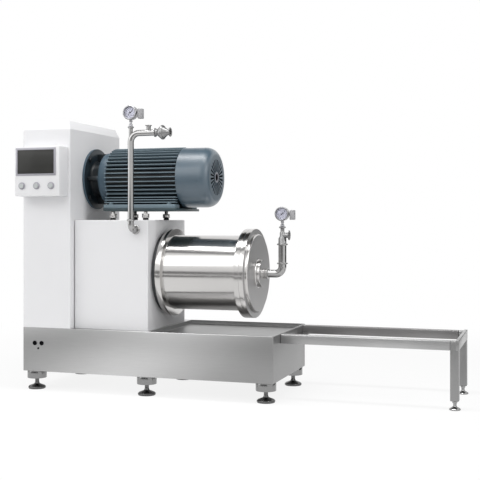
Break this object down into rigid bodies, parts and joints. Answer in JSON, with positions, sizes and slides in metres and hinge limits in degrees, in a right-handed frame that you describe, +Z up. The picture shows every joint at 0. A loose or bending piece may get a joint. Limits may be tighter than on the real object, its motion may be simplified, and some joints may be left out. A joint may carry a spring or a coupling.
{
  "type": "horizontal bead mill",
  "caption": "Horizontal bead mill: belt column with touch screen, flange motor over a drive housing, jacketed chamber, feed and discharge lines with gauges, base on levelling feet, side stand.",
  "frame": {"origin": "on the floor under the middle of the machine's bounding box", "axes": "+X along the machine from the column to the stand, +Y from the control side to the back, +Z up"},
  "size_m": [2.7442, 0.8824, 1.7955],
  "materials": {
    "white": "smooth powder coat",
    "blue": "satin paint",
    "steel": "brushed stainless steel",
    "polished": "polished stainless steel",
    "iron": "machined and painted cast iron",
    "black": "matt black rubber",
    "fan_plastic": "moulded plastic",
    "screen": "dark touch screen",
    "silver": "silver plastic",
    "button": "light grey plastic",
    "window": "clear flat glass",
    "needle": "black painted pointer",
    "laminations": "steel laminations with varnished windings"
  },
  "bodies": {
    "machine": {"base_frame": "steel", "drip_tray": "steel", "column_cover": "white", "service_panel": "white", "control_box": "white", "screen_bezel": "silver", "touch_screen": "screen", "motor_frame": "blue", "motor_end_shield": "blue", "stator_core": "laminations", "motor_rear_shield": "blue", "fan_cowl": "blue", "terminal_box": "blue", "terminal_box_lid": "blue", "motor_base_plate": "blue", "drive_belt": "black", "drive_housing": "white", "bearing_cartridge": "iron", "mill_bearing_rear": "polished", "mill_bearing_front": "polished", "bearing_pedestal": "iron", "chamber_neck": "iron", "feed_elbow": "polished", "feed_pipe": "polished", "valve_outlet_half": "polished", "valve_inlet_half": "polished", "valve_clamp": "polished", "feed_gauge_case": "polished", "feed_gauge_contact_box": "silver", "feed_gauge_window": "window", "stand_rail_front": "steel", "stand_rail_back": "steel", "stand_near_bar": "steel", "stand_end_frame": "steel", "stand_foot_front": "polished", "stand_foot_back": "polished"},
    "agitator": {"mill_shaft": "steel", "agitator_rotor": "steel", "mill_pulley": "iron", "seal_ring": "iron"},
    "rotor": {"rotor_shaft": "iron", "cooling_fan": "fan_plastic", "motor_pulley": "iron"},
    "start_cap": {"start_button": "button"},
    "stop_cap": {"stop_button": "button"},
    "reset_cap": {"reset_button": "button"},
    "feed_needle": {"feed_gauge_needle": "needle"},
    "discharge_needle": {"discharge_gauge_needle": "needle"},
    "poppet": {"valve_poppet": "steel"},
    "chamber": {"chamber_jacket": "polished", "chamber_liner": "steel", "end_cover": "polished", "separator_screen": "steel", "discharge_elbow": "polished", "discharge_tee": "polished", "discharge_port": "polished", "discharge_gauge_case": "polished", "discharge_gauge_contact_box": "silver", "discharge_gauge_window": "window"}
  },
  "joints": [
    {"name": "mill_spin", "type": "hinge", "parent": "machine", "child": "agitator", "pos_m": [-0.76985, 0.04715, 0.7525], "axis": [1, 0, 0], "continuous": true},
    {"name": "motor_spin", "type": "hinge", "parent": "machine", "child": "rotor", "pos_m": [-0.76985, 0.04715, 1.3635], "axis": [1, 0, 0], "continuous": true},
    {"name": "chamber_slide", "type": "slide", "parent": "machine", "child": "chamber", "axis": [1, 0, 0], "range_m": [0, 0.55]},
    {"name": "start_press", "type": "slide", "parent": "machine", "child": "start_cap", "axis": [0, 1, 0], "range_m": [0, 0.004], "stiffness_N_per_m": 600, "springref_m": -0.001},
    {"name": "stop_press", "type": "slide", "parent": "machine", "child": "stop_cap", "axis": [0, 1, 0], "range_m": [0, 0.004], "stiffness_N_per_m": 600, "springref_m": -0.001},
    {"name": "reset_press", "type": "slide", "parent": "machine", "child": "reset_cap", "axis": [0, 1, 0], "range_m": [0, 0.004], "stiffness_N_per_m": 600, "springref_m": -0.001},
    {"name": "feed_needle_turn", "type": "hinge", "parent": "machine", "child": "feed_needle", "pos_m": [-0.60085, -0.35985, 1.751], "axis": [0, 1, 0], "range_deg": [-90, 180]},
    {"name": "discharge_needle_turn", "type": "hinge", "parent": "chamber", "child": "discharge_needle", "pos_m": [0.26315, 0.02215, 1.128], "axis": [0, 1, 0], "range_deg": [-90, 180]},
    {"name": "poppet_lift", "type": "slide", "parent": "machine", "child": "poppet", "axis": [-1, 0, 0], "range_m": [0, 0.008], "stiffness_N_per_m": 800, "springref_m": -0.002}
  ],
  "couplings": [
    {"joint": "motor_spin", "follows": "mill_spin", "ratio": 1.8095}
  ]
}
